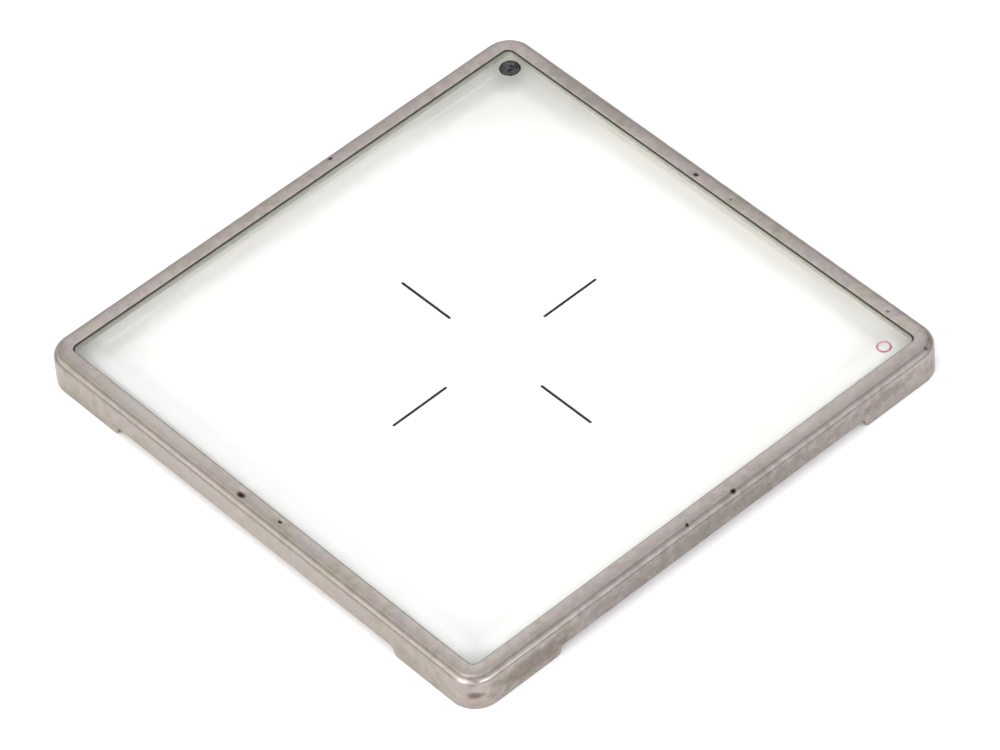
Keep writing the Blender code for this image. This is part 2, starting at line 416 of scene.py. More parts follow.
def build_glass(clear, ground, cut):
    """The glass plate: polished above, ground underneath, its cut sides matt."""
    low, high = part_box("ground_glass")
    levels = chamfered_levels(low.z, high.z, 0.00004)
    mesh = plate_mesh("glass_plate", high.x, POCKET_RADIUS, levels, 24, (1, 1, 2, 2, 0))
    new_object("glass_plate", mesh, [clear, ground, cut], "screen_glass", "ground_glass")


def groove_disc():
    """A disc, wide enough for the lens, whose underside is cut into rings of sawtooth grooves."""
    low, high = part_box("fresnel_lens")
    spare = 0.001
    reach = high.x * 1.45
    count = int(reach / GROOVE_STEP)
    profile = [(0.0, low.z + GROOVE_DEPTH)]
    for ring in range(1, count + 1):
        profile.append((ring * GROOVE_STEP, low.z))
        profile.append((ring * GROOVE_STEP + GROOVE_FLANK, low.z + GROOVE_DEPTH))
    profile.append((reach + spare, low.z + GROOVE_DEPTH))
    profile.append((reach + spare, high.z + spare))
    bm = bmesh.new()
    centre = bm.verts.new((0, 0, profile[0][1]))
    previous = None
    for radius, z in profile[1:]:
        angles = [step * 2 * pi / GROOVE_SIDES for step in range(GROOVE_SIDES)]
        ring = [bm.verts.new((radius * cos(a), radius * sin(a), z)) for a in angles]
        for k in range(GROOVE_SIDES):
            m = (k + 1) % GROOVE_SIDES
            if previous is None:
                bm.faces.new((centre, ring[m], ring[k]))
            else:
                bm.faces.new((previous[k], previous[m], ring[m], ring[k]))
        previous = ring
    bm.faces.new(previous)
    bmesh.ops.recalc_face_normals(bm, faces=bm.faces)
    mesh = bpy.data.meshes.new("groove_disc")
    bm.to_mesh(mesh)
    bm.free()
    disc = bpy.data.objects.new("groove_disc", mesh)
    bpy.context.scene.collection.objects.link(disc)
    return disc


def build_lens(material):
    """The fresnel lens: a thin plate with concentric grooves on its underside."""
    low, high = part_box("fresnel_lens")
    levels = chamfered_levels(low.z, high.z, 0.0001)
    plate = plate_mesh("lens_blank", high.x, LEDGE_RADIUS, levels, 2, (0, 0, 0, 0, 0))
    blank = bpy.data.objects.new("lens_blank", plate)
    bpy.context.scene.collection.objects.link(blank)
    disc = groove_disc()
    common = blank.modifiers.new("grooves", "BOOLEAN")
    common.operation = "INTERSECT"
    common.solver = "EXACT"
    common.object = disc
    evaluated = blank.evaluated_get(bpy.context.evaluated_depsgraph_get())
    mesh = bpy.data.meshes.new_from_object(evaluated)
    mesh.name = "lens_plate"
    bpy.data.objects.remove(disc)
    bpy.data.objects.remove(blank)
    mesh.materials.clear()
    mesh.shade_smooth()
    mesh.set_sharp_from_angle(angle=radians(5))
    new_object("lens_plate", mesh, [material], "lens_acrylic", "fresnel_lens")


def ring_stack_mesh(name, rings):
    """A closed mesh from a stack of rings with equal counts, filled at both ends."""
    count = len(rings[0])
    verts = [point for ring in rings for point in ring]
    faces = []
    for i in range(len(rings) - 1):
        for k in range(count):
            m = (k + 1) % count
            faces.append((i * count + k, i * count + m, (i + 1) * count + m, (i + 1) * count + k))
    faces.append(tuple(range(count))[::-1])
    top = (len(rings) - 1) * count
    faces.append(tuple(range(top, top + count)))
    mesh = bpy.data.meshes.new(name)
    mesh.from_pydata(verts, [], faces)
    bm = bmesh.new()
    bm.from_mesh(mesh)
    bmesh.ops.recalc_face_normals(bm, faces=bm.faces)
    bm.to_mesh(mesh)
    bm.free()
    mesh.shade_smooth()
    mesh.set_sharp_from_angle(angle=radians(40))
    return mesh


# Levels of a line's ink: height over the ground face, share of the line's width
INK_LEVELS = ((-0.00004, 0.7), (-0.00001, 1.0), (0.000012, 1.0), (0.000015, 0.94))


def build_lines(material):
    """Four ink-filled lines cut a hair into the ground face, a little ragged at their edges."""
    face_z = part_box("ground_glass")[0].z
    for side, turn in zip(SIDES, SIDE_TURNS):
        node = "reticle_line_" + side
        turn += RETICLE_TURN
        low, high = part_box(node)
        middle = (low + high) / 2
        direction = Vector((cos(turn), sin(turn), 0))
        across = Vector((-sin(turn), cos(turn), 0))
        steps = 60
        half_length = LINE_LENGTH / 2
        rings = []
        for height, spread in INK_LEVELS:
            ring = []
            for edge in (1, -1):
                for step in range(steps + 1):
                    along = edge * half_length * cos(step * pi / steps)
                    end = sqrt(max(0.0, 1 - abs(along / half_length) ** 60))
                    seed = Vector((along * 9000, edge * 3.0, turn * 7))
                    wide = LINE_WIDTH / 2 * end * spread * (1 + 0.14 * noise.noise(seed))
                    point = middle + direction * along + across * (edge * max(wide, 0.000002))
                    ring.append((point.x, point.y, face_z + height))
            rings.append(ring)
        mesh = ring_stack_mesh("printed_line_" + side, rings)
        new_object("printed_line_" + side, mesh, [material], "line_ink", node)


def build_mark(material):
    """A plain ring printed near the right-hand corner, its ink uneven."""
    face_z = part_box("ground_glass")[0].z
    low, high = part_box("corner_mark")
    middle = (low + high) / 2
    radius = (high.x - low.x) / 2
    verts = []
    steps = 72
    section = ((1.0, 0.000010), (1.0, -0.00003), (0.0, -0.00003), (0.0, 0.000010))
    for share, height in section:
        for step in range(steps):
            angle = step * 2 * pi / steps
            seed = Vector((cos(angle) * 3, sin(angle) * 3, share * 5))
            size = radius - MARK_LINE * (1 - share) * (1 + 0.25 * noise.noise(seed))
            size *= 1 + 0.012 * noise.noise(seed * 2)
            x = middle.x + size * cos(angle)
            y = middle.y + size * sin(angle)
            verts.append((x, y, face_z + height))
    faces = []
    for i in range(4):
        j = (i + 1) % 4
        for k in range(steps):
            m = (k + 1) % steps
            faces.append((i * steps + k, j * steps + k, j * steps + m, i * steps + m))
    mesh = bpy.data.meshes.new("printed_ring")
    mesh.from_pydata(verts, [], faces)
    mesh.shade_smooth()
    mesh.set_sharp_from_angle(angle=radians(40))
    new_object("printed_ring", mesh, [material], "mark_ink", "corner_mark")


def build_dot(material):
    """The dab of enamel: a low dome with an uneven outline and a slightly sunken, crusty middle."""
    low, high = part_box("index_dot")
    middle = (low + high) / 2
    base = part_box("ground_glass")[1].z
    steps = 64
    rings = []
    profile = ((0.96, 0.0), (1.0, 0.12), (0.985, 0.4), (0.93, 0.72), (0.85, 0.93), (0.74, 1.0),
               (0.6, 0.9), (0.45, 0.74), (0.3, 0.66), (0.16, 0.70), (0.05, 0.72))
    for share, lift in profile:
        ring = []
        for step in range(steps):
            angle = step * 2 * pi / steps
            outline = Vector((cos(angle) * 2.2, sin(angle) * 2.2, 4.0))
            size = share * (1 + 0.05 * noise.noise(outline))
            x = (high.x - low.x) / 2 * size * cos(angle)
            y = (high.y - low.y) / 2 * size * sin(angle)
            crust = 1 + 0.35 * noise.noise(Vector((x, y, 0.0)) * 4500) * (1 - share * share * 0.8)
            height = (high.z - base) * min(1.0, lift * crust)
            ring.append((middle.x + x, middle.y + y, base + 0.000004 + height * 0.96))
        rings.append(ring)
    mesh = ring_stack_mesh("enamel_dab", rings)
    new_object("enamel_dab", mesh, [material], "dot_enamel", "index_dot")


def build_beads(material):
    """Four beads of old cement along the lens's sides, lumpy like a hand-laid bead."""
    for side, turn in zip(SIDES, SIDE_TURNS):
        node = "cement_bead_" + side
        low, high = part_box(node)
        middle = (low + high) / 2
        size = (high - low) / 2
        along = Vector((-sin(turn), cos(turn), 0))
        out = Vector((cos(turn), sin(turn), 0))
        length = max(size.x, size.y)
        width = min(size.x, size.y)
        rings = []
        stations = 90
        for step in range(stations + 1):
            share = -cos(step * pi / stations)
            taper = sqrt(max(0.0, 1 - abs(share) ** 30)) * 0.98 + 0.02
            ring = []
            for spoke in range(12):
                angle = spoke * pi / 6
                seed = Vector((share * 22, cos(angle), sin(angle) + turn))
                lump = taper * (0.90 + 0.09 * noise.noise(seed))
                point = middle + along * (share * length)
                point = point + out * (width * lump * cos(angle))
                point.z += size.z * lump * sin(angle)
                ring.append(tuple(point))
            rings.append(ring)
        mesh = ring_stack_mesh("cement_line_" + side, rings)
        new_object("cement_line_" + side, mesh, [material], "cement", node)


# ---------------------------------------------------------------- materials


def new_material(name):
    """An empty node material with its output."""
    material = bpy.data.materials.new(name)
    material.use_nodes = True
    nodes = material.node_tree.nodes
    nodes.clear()
    output = nodes.new("ShaderNodeOutputMaterial")
    return material, nodes, material.node_tree.links, output


def noise_value(nodes, links, place, scale, detail, roughness):
    """Smooth noise from about 0.2 to 0.8; its coarsest lumps are 1 / scale metres wide."""
    node = nodes.new("ShaderNodeTexNoise")
    node.inputs["Scale"].default_value = scale
    node.inputs["Detail"].default_value = detail
    node.inputs["Roughness"].default_value = roughness
    links.new(place, node.inputs["Vector"])
    return node.outputs["Fac"]


def ramp(nodes, links, factor, stops):
    """A colour ramp from (position, colour) stops."""
    node = nodes.new("ShaderNodeValToRGB")
    elements = node.color_ramp.elements
    while len(elements) < len(stops):
        elements.new(0.5)
    for element, (position, colour) in zip(elements, stops):
        element.position = position
        element.color = (*colour, 1.0)
    links.new(factor, node.inputs["Fac"])
    return node.outputs["Color"]


def remap(nodes, links, value, low, high, to_low, to_high):
    """Map a value from one span to another, clamped and eased at both ends."""
    node = nodes.new("ShaderNodeMapRange")
    node.interpolation_type = "SMOOTHSTEP"
    node.inputs["From Min"].default_value = low
    node.inputs["From Max"].default_value = high
    node.inputs["To Min"].default_value = to_low
    node.inputs["To Max"].default_value = to_high
    links.new(value, node.inputs["Value"])
    return node.outputs["Result"]


def maths(nodes, links, operation, first, second):
    """A two-input math node; either input may be a socket or a number."""
    node = nodes.new("ShaderNodeMath")
    node.operation = operation
    for socket, value in zip(node.inputs, (first, second)):
        if isinstance(value, (int, float)):
            socket.default_value = value
        else:
            links.new(value, socket)
    return node.outputs[0]


def mix(nodes, links, factor, first, second, blend="MIX"):
    """Mix two colours, either a socket or an RGB tuple."""
    node = nodes.new("ShaderNodeMix")
    node.data_type = "RGBA"
    node.blend_type = blend
    factor_in, a, b = node.inputs[0], node.inputs[6], node.inputs[7]
    for socket, value in ((factor_in, factor), (a, first), (b, second)):
        if isinstance(value, (int, float)):
            socket.default_value = value
        elif isinstance(value, tuple):
            socket.default_value = (*value, 1.0)
        else:
            links.new(value, socket)
    return node.outputs[2]


def own_place(nodes):
    """Where a point lies in its object, in metres."""
    return nodes.new("ShaderNodeTexCoord").outputs["Object"]


def attribute(nodes, name):
    """A value that the mesh carries at its vertices."""
    node = nodes.new("ShaderNodeAttribute")
    node.attribute_name = name
    return node.outputs["Fac"]


# Tones of the metal's mottling, and of its rubbed places (partly a painted highlight), its dirty
# places (partly painted shade) and its pitted places
METAL_TONES = (
    (0.30, (0.305, 0.284, 0.240)),
    (0.42, (0.352, 0.326, 0.276)),
    (0.50, (0.386, 0.330, 0.302)),
    (0.58, (0.362, 0.326, 0.314)),
    (0.70, (0.346, 0.336, 0.276)),
)
RUBBED_AND_LIT_COLOUR = (0.41, 0.380, 0.350)
SHADE_AND_DIRT_COLOUR = (0.085, 0.07, 0.06)
PIT_COLOUR = (0.018, 0.014, 0.014)

# Stains on the metal, and painted light and shade on whole sides and at two corners: centre, reach
# along each axis, strength and colour
STAINS_AND_PAINTED_LIGHT = (
    # Painted light: the whole left wall lighter
    ((-0.0305, -0.0010, 0.0018), (0.0012, 0.0200, 0.0030), 0.45, (0.42, 0.380, 0.34)),
    # Painted shade: the whole front wall darker
    ((0.0000, -0.0305, 0.0022), (0.0310, 0.0012, 0.0026), 0.60, (0.160, 0.145, 0.128)),
    # Stains
    ((-0.02893, -0.02934, 0.0019), (0.0009, 0.0009, 0.0006), 0.80, (0.12, 0.085, 0.065)),
    ((-0.0225, -0.0300, 0.0017), (0.0055, 0.0010, 0.0014), 0.60, (0.17, 0.13, 0.105)),
    ((0.0220, -0.0300, 0.0022), (0.0035, 0.0010, 0.0009), 0.40, (0.17, 0.14, 0.12)),
    ((0.02776, -0.02940, 0.00375), (0.00024, 0.00020, 0.00030), 0.80, (0.05, 0.035, 0.035)),
    ((0.0288, 0.0180, 0.0039), (0.0009, 0.0085, 0.0010), 0.42, (0.22, 0.20, 0.165)),
    ((-0.0288, 0.0270, 0.0039), (0.0020, 0.0030, 0.0010), 0.25, (0.25, 0.23, 0.19)),
    # Painted reflection: dark between the two glints on the front left corner's shoulder
    ((-0.0291, -0.0291, 0.0035), (0.0008, 0.0008, 0.0006), 0.50, (0.17, 0.145, 0.125)),
    # Painted shade round the front right corner's wall
    ((0.0290, -0.0290, 0.0020), (0.0022, 0.0022, 0.0022), 0.40, (0.17, 0.16, 0.135)),
    # Painted light and shade on the rim tops: lighter along the left and front sides, darker along
    # the right and rear sides
    ((-0.0288, 0.0150, 0.0041), (0.0009, 0.0100, 0.0006), 0.38, (0.50, 0.465, 0.41)),
    ((0.0150, -0.0288, 0.0041), (0.0100, 0.0009, 0.0006), 0.24, (0.50, 0.465, 0.41)),
    ((0.0290, 0.0000, 0.0041), (0.0009, 0.0260, 0.0006), 0.28, (0.20, 0.18, 0.15)),
    ((0.0000, 0.0290, 0.0041), (0.0260, 0.0009, 0.0006), 0.16, (0.20, 0.18, 0.15)),
)

# Distance from a patch's centre, in its reaches and with the noise added, where it starts to fade
# and where it ends
PATCH_FULL = 0.85
PATCH_GONE = 1.65


def spot(nodes, links, place, centre, reach, ragged, strength):
    """Cover of one soft-edged patch, its outline made uneven by a noise value."""
    shift = nodes.new("ShaderNodeVectorMath")
    shift.operation = "SUBTRACT"
    links.new(place, shift.inputs[0])
    shift.inputs[1].default_value = centre
    scale = nodes.new("ShaderNodeVectorMath")
    scale.operation = "DIVIDE"
    links.new(shift.outputs[0], scale.inputs[0])
    scale.inputs[1].default_value = reach
    size = nodes.new("ShaderNodeVectorMath")
    size.operation = "LENGTH"
    links.new(scale.outputs[0], size.inputs[0])
    outline = maths(nodes, links, "ADD", size.outputs["Value"], ragged)
    return remap(nodes, links, outline, PATCH_FULL, PATCH_GONE, strength, 0.0)


def metal_material():
    """Dull warm grey plate: mottled by handling, lighter on rubbed edges, partly a painted highlight,
    dark in creases with painted shade and a dirty film, with painted light and shade on whole sides.
    """
    material, nodes, links, output = new_material("worn_nickel")
    shader = nodes.new("ShaderNodeBsdfPrincipled")
    links.new(shader.outputs["BSDF"], output.inputs["Surface"])
    place = own_place(nodes)
    blotch = noise_value(nodes, links, place, 420.0, 5.0, 0.6)
    cloud = noise_value(nodes, links, place, 1000.0, 4.0, 0.6)
    grain = noise_value(nodes, links, place, 9000.0, 3.0, 0.7)
    tone = ramp(nodes, links, blotch, METAL_TONES)
    shade = remap(nodes, links, cloud, 0.3, 0.7, 0.90, 1.09)
    shade_colour = nodes.new("ShaderNodeCombineColor")
    for socket in shade_colour.inputs:
        links.new(shade, socket)
    colour = mix(nodes, links, 1.0, tone, shade_colour.outputs[0], "MULTIPLY")
    # Rubbed edges turn lighter, partly as a painted highlight on the shoulder and the rim's edges
    rubbing_and_sheen = attribute(nodes, "rubbing_and_sheen")
    patchy = remap(nodes, links, cloud, 0.35, 0.6, 0.3, 0.9)
    rubbed_and_lit = maths(nodes, links, "MULTIPLY", rubbing_and_sheen, patchy)
    colour = mix(nodes, links, rubbed_and_lit, colour, RUBBED_AND_LIT_COLOUR)
    # Stains, and painted light and shade on whole sides and at two corners
    for centre, reach, strength, patch_colour in STAINS_AND_PAINTED_LIGHT:
        cover = spot(nodes, links, place, centre, reach, cloud, strength)
        colour = mix(nodes, links, cover, colour, patch_colour)
    # Painted shade with a dirty film in the crease, beside it, in the pocket and underneath
    shade_and_soil = maths(nodes, links, "MULTIPLY", attribute(nodes, "shade_and_grime"), 0.75)
    colour = mix(nodes, links, shade_and_soil, colour, SHADE_AND_DIRT_COLOUR)
    colour = mix(nodes, links, attribute(nodes, "pit"), colour, PIT_COLOUR)
    links.new(colour, shader.inputs["Base Color"])
    shader.inputs["Metallic"].default_value = 1.0
    rough = remap(nodes, links, grain, 0.3, 0.7, 0.36, 0.50)
    rough = maths(nodes, links, "ADD", rough, maths(nodes, links, "MULTIPLY", shade_and_soil, 0.3))
    rough = maths(nodes, links, "SUBTRACT", rough, maths(nodes, links, "MULTIPLY", rubbed_and_lit, 0.14))
    links.new(rough, shader.inputs["Roughness"])
    bump = nodes.new("ShaderNodeBump")
    bump.inputs["Strength"].default_value = 0.22
    bump.inputs["Distance"].default_value = 0.00002
    links.new(grain, bump.inputs["Height"])
    links.new(bump.outputs["Normal"], shader.inputs["Normal"])
    return material


def let_light_through(nodes, links, shader, output, tint):
    """Lamp rays and light scattered by matt things pass straight on; all other rays see the glass."""
    path = nodes.new("ShaderNodeLightPath")
    clear = nodes.new("ShaderNodeBsdfTransparent")
    clear.inputs["Color"].default_value = (*tint, 1.0)
    for name in ("Is Diffuse Ray", "Is Shadow Ray"):
        either = nodes.new("ShaderNodeMixShader")
        links.new(path.outputs[name], either.inputs[0])
        links.new(shader, either.inputs[1])
        links.new(clear.outputs[0], either.inputs[2])
        shader = either.outputs[0]
    links.new(shader, output.inputs["Surface"])


def glass_material():
    """Polished upper face of the glass, with faint smears."""
    material, nodes, links, output = new_material("polished_glass")
    shader = nodes.new("ShaderNodeBsdfPrincipled")
    shader.inputs["Base Color"].default_value = (0.985, 1.0, 0.99, 1.0)
    shader.inputs["Transmission Weight"].default_value = 1.0
    shader.inputs["IOR"].default_value = 1.52
    place = own_place(nodes)
    smear = noise_value(nodes, links, place, 180.0, 6.0, 0.6)
    rough = remap(nodes, links, smear, 0.35, 0.75, 0.01, 0.08)
    links.new(rough, shader.inputs["Roughness"])
    let_light_through(nodes, links, shader.outputs[0], output, (0.97, 0.977, 0.965))
    return material


# The ground face: light that it lets through and light that it throws back
MILK_COLOUR = (0.90, 0.90, 0.885)
FACE_COLOUR = (0.87, 0.87, 0.855)
MILKINESS = 0.65  # share of the light that it scatters
THROWN_BACK = (0.45, 0.85)  # how much of that comes back, in the middle and next to the frame
FAR_FADE = (0.0260, 0.0279)  # from middle to frame at the rear and right sides
NEAR_FADE = (-0.0266, -0.0250)  # from frame to middle at the left and front sides

# Painted shade in the corners of the ground face, and a painted shadow under the enamel dot:
# centre, reach and strength
CORNER_SHADE = (
    ((0.0282, 0.0282, 0.0024), 0.0165, 0.36),
    # Painted shadow of the enamel dot
    ((0.0252, 0.0252, 0.0024), 0.0019, 0.50),
    ((-0.0282, 0.0282, 0.0024), 0.0036, 0.42),
    ((0.0282, -0.0282, 0.0024), 0.0036, 0.25),
    ((-0.0282, -0.0282, 0.0024), 0.0038, 0.82),
)
CORNER_SHADE_COLOUR = (0.46, 0.475, 0.45)


def ground_material():
    """Fine-ground glass: it scatters what passes and glows softly, with painted shade in the corners
    and a painted shadow under the dot.
    """
    material, nodes, links, output = new_material("ground_face")
    shader = nodes.new("ShaderNodeBsdfPrincipled")
    shader.inputs["Base Color"].default_value = (0.97, 0.98, 0.955, 1.0)
    shader.inputs["Transmission Weight"].default_value = 1.0
    shader.inputs["IOR"].default_value = 1.52
    place = own_place(nodes)
    grain = noise_value(nodes, links, place, 14000.0, 2.0, 0.6)
    rough = remap(nodes, links, grain, 0.3, 0.7, 0.42, 0.55)
    links.new(rough, shader.inputs["Roughness"])
    smear = noise_value(nodes, links, place, 500.0, 3.0, 0.6)
    ragged = remap(nodes, links, smear, 0.2, 0.8, 0.38, 0.62)
    milk_tone, face_tone = MILK_COLOUR, FACE_COLOUR
    # Painted shade in the corners and a painted shadow under the dot
    for centre, reach, strength in CORNER_SHADE:
        wide = (reach, reach, 0.01)
        cover = spot(nodes, links, place, centre, wide, ragged, strength)
        milk_tone = mix(nodes, links, cover, milk_tone, CORNER_SHADE_COLOUR)
        face_tone = mix(nodes, links, cover, face_tone, CORNER_SHADE_COLOUR)
    milk = nodes.new("ShaderNodeBsdfTranslucent")
    links.new(milk_tone, milk.inputs["Color"])
    face = nodes.new("ShaderNodeBsdfDiffuse")
    links.new(face_tone, face.inputs["Color"])
    both = nodes.new("ShaderNodeMixShader")
    away = nodes.new("ShaderNodeSeparateXYZ")
    links.new(place, away.inputs[0])
    highest = maths(nodes, links, "MAXIMUM", away.outputs["X"], away.outputs["Y"])
    lowest = maths(nodes, links, "MINIMUM", away.outputs["X"], away.outputs["Y"])
    inner, outer = THROWN_BACK
    rear_right = remap(nodes, links, highest, *FAR_FADE, inner, outer)
    front_left = remap(nodes, links, lowest, *NEAR_FADE, outer, inner)
    links.new(maths(nodes, links, "MAXIMUM", rear_right, front_left), both.inputs[0])
    links.new(milk.outputs[0], both.inputs[1])
    links.new(face.outputs[0], both.inputs[2])
    mixed = nodes.new("ShaderNodeMixShader")
    mixed.inputs[0].default_value = MILKINESS
    links.new(shader.outputs[0], mixed.inputs[1])
    links.new(both.outputs[0], mixed.inputs[2])
    let_light_through(nodes, links, mixed.outputs[0], output, (0.92, 0.922, 0.905))
    return material


# Painted shade on the cut side at the rear
REAR_SHADE_SPAN = (0.0277, 0.0279)  # the cut side at the rear is a little darker


def cut_edge_material():
    """Sawn sides of the glass: matt grey-green, with painted shade along the rear, and darker towards
    the top.
    """
    material, nodes, links, output = new_material("cut_edge")
    shader = nodes.new("ShaderNodeBsdfPrincipled")
    links.new(shader.outputs["BSDF"], output.inputs["Surface"])
    place = own_place(nodes)
    chips = noise_value(nodes, links, place, 1300.0, 4.0, 0.65)
    tones = ((0.35, (0.35, 0.355, 0.305)), (0.65, (0.45, 0.45, 0.39)))
    tone = ramp(nodes, links, chips, tones)
    split = nodes.new("ShaderNodeSeparateXYZ")
    links.new(place, split.inputs[0])
    # Painted shade along the rear side
    rear = remap(nodes, links, split.outputs["Y"], *REAR_SHADE_SPAN, 0.0, 0.22)
    tone = mix(nodes, links, rear, tone, (0.20, 0.20, 0.165))
    low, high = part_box("ground_glass")
    darker_up = remap(nodes, links, split.outputs["Z"], low.z + 0.0003, high.z, 0.0, 0.72)
    tone = mix(nodes, links, darker_up, tone, (0.13, 0.125, 0.095))
    links.new(tone, shader.inputs["Base Color"])
    rough = remap(nodes, links, chips, 0.3, 0.7, 0.45, 0.7)
    links.new(rough, shader.inputs["Roughness"])
    return material


def lens_material():
    """Clear acrylic."""
    material, nodes, links, output = new_material("clear_acrylic")
    shader = nodes.new("ShaderNodeBsdfPrincipled")
    shader.inputs["Base Color"].default_value = (0.99, 0.99, 0.99, 1.0)
    shader.inputs["Transmission Weight"].default_value = 1.0
    shader.inputs["IOR"].default_value = 1.49
    place = own_place(nodes)
    haze = noise_value(nodes, links, place, 300.0, 4.0, 0.6)
    rough = remap(nodes, links, haze, 0.3, 0.7, 0.05, 0.12)
    links.new(rough, shader.inputs["Roughness"])
    let_light_through(nodes, links, shader.outputs[0], output, (0.985, 0.985, 0.985))
    return material


def paint_material(name, colour, second, roughness, gloss=0.5):
    """Opaque ink or enamel with mottled colour and gloss."""
    material, nodes, links, output = new_material(name)
    shader = nodes.new("ShaderNodeBsdfPrincipled")
    links.new(shader.outputs["BSDF"], output.inputs["Surface"])
    place = own_place(nodes)
    mottle = noise_value(nodes, links, place, 2600.0, 4.0, 0.65)
    tone = ramp(nodes, links, mottle, ((0.35, colour), (0.68, second)))
    links.new(tone, shader.inputs["Base Color"])
    shader.inputs["Specular IOR Level"].default_value = gloss
    rough = remap(nodes, links, mottle, 0.3, 0.7, roughness * 0.8, roughness * 1.4)
    links.new(rough, shader.inputs["Roughness"])
    bump = nodes.new("ShaderNodeBump")
    bump.inputs["Strength"].default_value = 0.4
    bump.inputs["Distance"].default_value = 0.00002
    links.new(mottle, bump.inputs["Height"])
    links.new(bump.outputs["Normal"], shader.inputs["Normal"])
    return material


ENAMEL_COLOUR = (0.004, 0.004, 0.006)
# The crust's grey is partly a painted reflection of the lamps
CRUST_AND_GLINT_COLOUR = (0.10, 0.09, 0.08)
CRUST_AND_GLINT_REACH = (0.0011, 0.0011, 0.01)


def enamel_material():
    """Glossy black enamel with a matt, crusty grey-brown middle whose grey is partly a painted
    reflection.
    """
    material, nodes, links, output = new_material("dot_enamel")
    shader = nodes.new("ShaderNodeBsdfPrincipled")
    links.new(shader.outputs["BSDF"], output.inputs["Surface"])
    place = own_place(nodes)
    low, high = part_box("index_dot")
    centre = (low + high) / 2
    crust = noise_value(nodes, links, place, 1500.0, 3.0, 0.6)
    # Grey crust in the middle, partly a painted reflection of the lamps
    middle = spot(nodes, links, place, tuple(centre), CRUST_AND_GLINT_REACH, crust, 1.0)
    broken = remap(nodes, links, crust, 0.42, 0.70, 0.0, 1.0)
    cover = maths(nodes, links, "MULTIPLY", middle, broken)
    tone = mix(nodes, links, cover, ENAMEL_COLOUR, CRUST_AND_GLINT_COLOUR)
    links.new(tone, shader.inputs["Base Color"])
    links.new(remap(nodes, links, cover, 0.0, 1.0, 0.16, 0.6), shader.inputs["Roughness"])
    shader.inputs["Specular IOR Level"].default_value = 0.35
    bump = nodes.new("ShaderNodeBump")
    bump.inputs["Strength"].default_value = 0.5
    bump.inputs["Distance"].default_value = 0.00003
    links.new(crust, bump.inputs["Height"])
    links.new(bump.outputs["Normal"], shader.inputs["Normal"])
    return material


def table_material():
    """White card with a faint tooth."""
    material, nodes, links, output = new_material("white_card")
    shader = nodes.new("ShaderNodeBsdfPrincipled")
    links.new(shader.outputs["BSDF"], output.inputs["Surface"])
    place = own_place(nodes)
    tooth = noise_value(nodes, links, place, 900.0, 3.0, 0.6)
    tones = ((0.3, (0.91, 0.91, 0.92)), (0.7, (0.94, 0.94, 0.95)))
    tone = ramp(nodes, links, tooth, tones)
    links.new(tone, shader.inputs["Base Color"])
    shader.inputs["Roughness"].default_value = 0.9
    shader.inputs["Specular IOR Level"].default_value = 0.1
    return material


# ---------------------------------------------------------------- pieces

nickel = metal_material()
polished = glass_material()
ground = ground_material()
cut = cut_edge_material()
acrylic = lens_material()
line_ink = paint_material("line_ink", (0.006, 0.004, 0.007), (0.020, 0.012, 0.018), 0.5, gloss=0.0)
mark_ink = paint_material("mark_ink", (0.28, 0.09, 0.14), (0.60, 0.33, 0.39), 0.5, gloss=0.0)
enamel = enamel_material()
cement = paint_material("cement", (0.26, 0.22, 0.145), (0.38, 0.335, 0.25), 0.35)

build_frame(nickel)
build_glass(polished, ground, cut)
build_lens(acrylic)

build_lines(line_ink)
build_mark(mark_ink)
build_dot(enamel)
build_beads(cement)

# ---------------------------------------------------------------- table, lights, camera

WARM = (1.03, 1.0, 0.96)
COOL = (0.985, 0.985, 1.03)


def build_table():
    """A wide flat white sheet just under the feet."""
    bm = bmesh.new()
    bmesh.ops.create_grid(bm, x_segments=8, y_segments=8, size=1.5)
    mesh = bpy.data.meshes.new("table")
    bm.to_mesh(mesh)
    bm.free()
    table = bpy.data.objects.new("table", mesh)
    table.location.z = -FLOOR_GAP
    mesh.materials.append(table_material())
    bpy.context.scene.collection.objects.link(table)


def add_softbox(name, direction, distance, width, height, radiance, colour):
    """A rectangular lamp at a direction from the object, facing it."""
    data = bpy.data.lights.new(name, "AREA")
    data.shape = "RECTANGLE"
    data.size = width
    data.size_y = height
    data.energy = pi * width * height * radiance
    data.color = colour
    lamp = bpy.data.objects.new(name, data)
    towards = Vector(direction).normalized()
    lamp.location = towards * distance
    lamp.rotation_mode = "QUATERNION"
    lamp.rotation_quaternion = towards.to_track_quat("Z", "Y")
    bpy.context.scene.collection.objects.link(lamp)


# Soft panels of the sky: lowest and highest sine of the elevation, azimuth and half width in
# degrees (None for all round), strength and tint
SKY_PANELS = (
    (0.93, 2.00, None, None, 0.45, COOL),
    (0.70, 0.93, 137, 45, 1.85, WARM),
    (0.76, 0.93, 47, 45, 2.80, COOL),
    (0.70, 0.93, 192, 24, 2.10, WARM),
    (0.70, 0.93, 270, 24, 2.00, COOL),
    (0.70, 0.93, 317, 45, 1.00, COOL),
    (0.34, 0.70, 137, 45, 1.45, WARM),
    (0.34, 0.76, 47, 45, 0.60, COOL),
    (0.34, 0.70, 196, 20, 4.30, WARM),
    (0.34, 0.70, 268, 22, 3.60, COOL),
    (0.34, 0.70, 312, 26, 0.93, COOL),
    (0.00, 0.34, 137, 50, 0.25, WARM),
    (0.00, 0.34, 206, 30, 2.70, WARM),
    (0.00, 0.34, 20, 60, 0.80, COOL),
)
PANEL_FADE = 0.04
PANEL_SIDE_FADE = 0.25


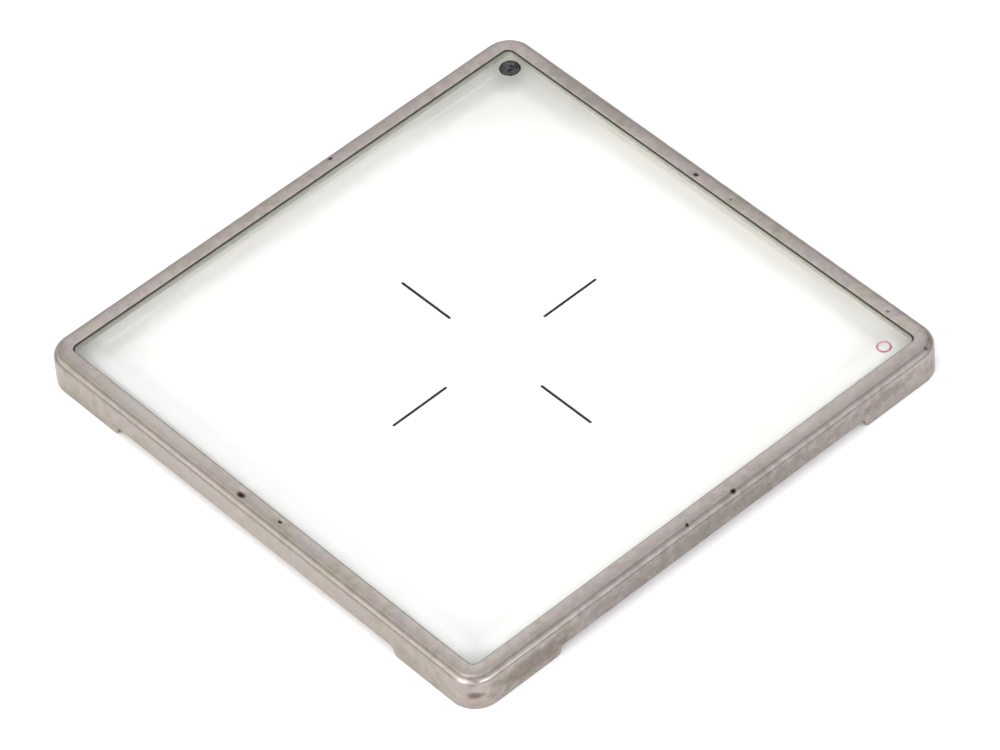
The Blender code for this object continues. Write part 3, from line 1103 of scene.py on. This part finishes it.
def sky_panel(nodes, links, direction, height, panel):
    """How much one soft panel lights each direction."""
    low, high, azimuth, half_width, strength, _ = panel
    value = remap(nodes, links, height, low - PANEL_FADE, low + PANEL_FADE, 0.0, strength)
    fade = remap(nodes, links, height, high - PANEL_FADE, high + PANEL_FADE, 1.0, 0.0)
    value = maths(nodes, links, "MULTIPLY", value, fade)
    if azimuth is None:
        return value
    towards = nodes.new("ShaderNodeVectorMath")
    towards.operation = "DOT_PRODUCT"
    links.new(direction, towards.inputs[0])
    towards.inputs[1].default_value = (cos(radians(azimuth)), sin(radians(azimuth)), 0.0)
    near = cos(max(radians(half_width) - PANEL_SIDE_FADE, 0.0))
    far = cos(radians(half_width) + PANEL_SIDE_FADE)
    side = remap(nodes, links, towards.outputs["Value"], far, near, 0.0, 1.0)
    return maths(nodes, links, "MULTIPLY", value, side)


def build_world():
    """A studio of soft panels: strong to the left and right of the front corner and high up behind,
    with a dark horizon on the right."""
    world = bpy.data.worlds.new("studio")
    world.use_nodes = True
    nodes = world.node_tree.nodes
    links = world.node_tree.links
    nodes.clear()
    output = nodes.new("ShaderNodeOutputWorld")
    place = nodes.new("ShaderNodeTexCoord").outputs["Generated"]
    split = nodes.new("ShaderNodeSeparateXYZ")
    links.new(place, split.inputs[0])
    level = nodes.new("ShaderNodeVectorMath")
    level.operation = "MULTIPLY"
    links.new(place, level.inputs[0])
    level.inputs[1].default_value = (1.0, 1.0, 0.0)
    unit = nodes.new("ShaderNodeVectorMath")
    unit.operation = "NORMALIZE"
    links.new(level.outputs[0], unit.inputs[0])
    total = None
    for panel in SKY_PANELS:
        background = nodes.new("ShaderNodeBackground")
        background.inputs["Color"].default_value = (*panel[-1], 1.0)
        strength = sky_panel(nodes, links, unit.outputs[0], split.outputs["Z"], panel)
        links.new(strength, background.inputs["Strength"])
        shader = background.outputs[0]
        if total is not None:
            joined = nodes.new("ShaderNodeAddShader")
            links.new(total, joined.inputs[0])
            links.new(shader, joined.inputs[1])
            shader = joined.outputs[0]
        total = shader
    links.new(total, output.inputs["Surface"])
    bpy.context.scene.world = world


CAMERA_LENS = 231.66  # millimetres, on a sensor 36 mm wide
CAMERA_PLACE = (-0.259055, -0.321273, 0.435358 + HEIGHT)
CAMERA_RIGHT = (0.73406, -0.67639, -0.06051)
CAMERA_UP = (0.52543, 0.50925, 0.68161)


def build_camera():
    """A long lens that looks down at the front left corner from 46 degrees above, rolled slightly."""
    data = bpy.data.cameras.new("camera")
    data.sensor_width = 36.0
    data.lens = CAMERA_LENS
    data.clip_start = 0.05
    data.clip_end = 10.0
    camera = bpy.data.objects.new("camera", data)
    right = Vector(CAMERA_RIGHT)
    up = Vector(CAMERA_UP)
    back = right.cross(up)
    turn = Matrix((right, up, back)).transposed().to_4x4()
    camera.matrix_world = Matrix.Translation(Vector(CAMERA_PLACE)) @ turn
    bpy.context.scene.collection.objects.link(camera)
    bpy.context.scene.camera = camera


build_table()
build_world()
add_softbox("box_left", (-0.383, 0.045, 0.922), 0.9, 0.25, 0.40, 1.35, WARM)
add_softbox("box_right", (0.122, -0.365, 0.922), 0.9, 0.25, 0.40, 0.52, COOL)
build_camera()
bpy.context.scene.view_settings.view_transform = "Standard"
